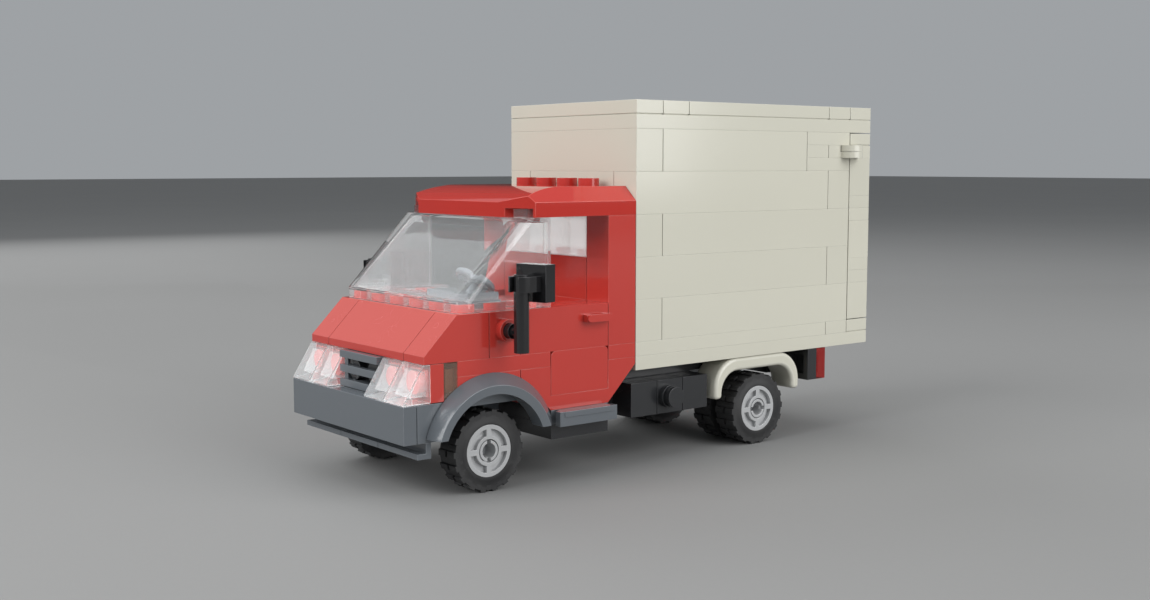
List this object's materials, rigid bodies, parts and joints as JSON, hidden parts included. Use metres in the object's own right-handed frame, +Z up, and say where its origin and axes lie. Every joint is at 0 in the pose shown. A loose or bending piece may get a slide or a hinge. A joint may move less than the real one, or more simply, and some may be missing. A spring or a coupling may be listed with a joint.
{
  "type": "mail delivery truck",
  "caption": "Brick-built toy delivery truck: red cab with clear windscreen, off-white cargo box with double rear doors, rolling wheels and folding mirrors.",
  "frame": {"origin": "on the ground under the middle of the truck", "axes": "+Z up, front of the truck towards -Y, its left side towards +X"},
  "size_m": [0.0656, 0.1426, 0.0828],
  "materials": {
    "red": "moulded gloss",
    "white": "moulded gloss",
    "dark_grey": "moulded gloss",
    "light_grey": "moulded gloss",
    "rim": "moulded satin",
    "black": "moulded gloss",
    "clear": "transparent",
    "orange_clear": "transparent",
    "red_clear": "transparent",
    "tyre": "matt rubber"
  },
  "bodies": {
    "truck": {"axle_plates": "light_grey", "bumper_plates": "dark_grey", "bumper_tile": "dark_grey", "cab_back_bricks": "red", "cab_floor_pan": "red", "cab_floor_plates": "red", "cab_roof": "red", "cargo_floor_plates": "white", "cargo_roof_plate": "white", "cargo_roof_tiles": "white", "chassis_plates": "black", "dashboard_brick": "red", "door_bricks": "red", "door_hinge_bases": "white", "door_pillars": "red", "front_fenders": "dark_grey", "front_spacer_plate": "dark_grey", "front_wall_bricks": "white", "grille": "dark_grey", "grille_plate": "black", "headlights": "clear", "hood_slopes": "red", "left_wall_bricks": "white", "lower_door_panels": "red", "nose_bracket": "dark_grey", "nose_plates": "red", "rear_mudguards": "white", "rear_sill_tile": "white", "rear_windows": "clear", "right_wall_bricks": "white", "side_boxes": "black", "side_steps": "dark_grey", "splitter_strips": "dark_grey", "steering_stand": "dark_grey", "tail_brackets": "black", "tail_lenses": "red_clear", "turn_signals": "orange_clear", "underbody_plate": "black", "windscreen": "clear"},
    "front_wheel_left": {"front_rim_left": "rim", "front_tyre_left": "tyre"},
    "rear_outer_wheel_left": {"rear_outer_rim_left": "rim", "rear_outer_tyre_left": "tyre"},
    "rear_inner_wheel_left": {"rear_inner_rim_left": "rim", "rear_inner_tyre_left": "tyre"},
    "rear_door_left": {"rear_door_left": "white", "rear_door_hinge_left": "white"},
    "mirror_arm_left": {"mirror_arm_left": "black"},
    "mirror_head_left": {"mirror_head_left": "black"},
    "front_wheel_right": {"front_rim_right": "rim", "front_tyre_right": "tyre"},
    "rear_outer_wheel_right": {"rear_outer_rim_right": "rim", "rear_outer_tyre_right": "tyre"},
    "rear_inner_wheel_right": {"rear_inner_rim_right": "rim", "rear_inner_tyre_right": "tyre"},
    "rear_door_right": {"rear_door_right": "white", "rear_door_hinge_right": "white"},
    "mirror_arm_right": {"mirror_arm_right": "black"},
    "mirror_head_right": {"mirror_head_right": "black"},
    "steering_wheel": {"steering_wheel": "dark_grey"}
  },
  "joints": [
    {"name": "front_wheel_spin_left", "type": "hinge", "parent": "truck", "child": "front_wheel_left", "pos_m": [0.0206, -0.05051, 0.00875], "axis": [1, 0, 0], "continuous": true},
    {"name": "rear_outer_wheel_spin_left", "type": "hinge", "parent": "truck", "child": "rear_outer_wheel_left", "pos_m": [0.0206, 0.02949, 0.00875], "axis": [1, 0, 0], "continuous": true},
    {"name": "rear_inner_wheel_spin_left", "type": "hinge", "parent": "truck", "child": "rear_inner_wheel_left", "pos_m": [0.0126, 0.02949, 0.00875], "axis": [1, 0, 0], "continuous": true},
    {"name": "rear_door_swing_left", "type": "hinge", "parent": "truck", "child": "rear_door_left", "pos_m": [0.024, 0.06149, 0.07155], "axis": [0, 0, -1], "range_deg": [0, 180]},
    {"name": "mirror_arm_tilt_left", "type": "hinge", "parent": "truck", "child": "mirror_arm_left", "pos_m": [0.024, -0.04651, 0.03395], "axis": [1, 0, 0], "range_deg": [-90, 90]},
    {"name": "mirror_head_swivel_left", "type": "hinge", "parent": "mirror_arm_left", "child": "mirror_head_left", "pos_m": [0.0298, -0.04651, 0.04395], "axis": [0, 0, -1], "range_deg": [0, 75]},
    {"name": "front_wheel_spin_right", "type": "hinge", "parent": "truck", "child": "front_wheel_right", "pos_m": [-0.0206, -0.05051, 0.00875], "axis": [1, 0, 0], "continuous": true},
    {"name": "rear_outer_wheel_spin_right", "type": "hinge", "parent": "truck", "child": "rear_outer_wheel_right", "pos_m": [-0.0206, 0.02949, 0.00875], "axis": [1, 0, 0], "continuous": true},
    {"name": "rear_inner_wheel_spin_right", "type": "hinge", "parent": "truck", "child": "rear_inner_wheel_right", "pos_m": [-0.0126, 0.02949, 0.00875], "axis": [1, 0, 0], "continuous": true},
    {"name": "rear_door_swing_right", "type": "hinge", "parent": "truck", "child": "rear_door_right", "pos_m": [-0.024, 0.06149, 0.07155], "axis": [0, 0, 1], "range_deg": [0, 180]},
    {"name": "mirror_arm_tilt_right", "type": "hinge", "parent": "truck", "child": "mirror_arm_right", "pos_m": [-0.024, -0.04651, 0.03395], "axis": [1, 0, 0], "range_deg": [-90, 90]},
    {"name": "mirror_head_swivel_right", "type": "hinge", "parent": "mirror_arm_right", "child": "mirror_head_right", "pos_m": [-0.0298, -0.04651, 0.04395], "axis": [0, 0, 1], "range_deg": [0, 75]},
    {"name": "steering_spin", "type": "hinge", "parent": "truck", "child": "steering_wheel", "pos_m": [0.008, -0.04308, 0.04317], "axis": [0, 0.5736, 0.8192], "continuous": true}
  ]
}
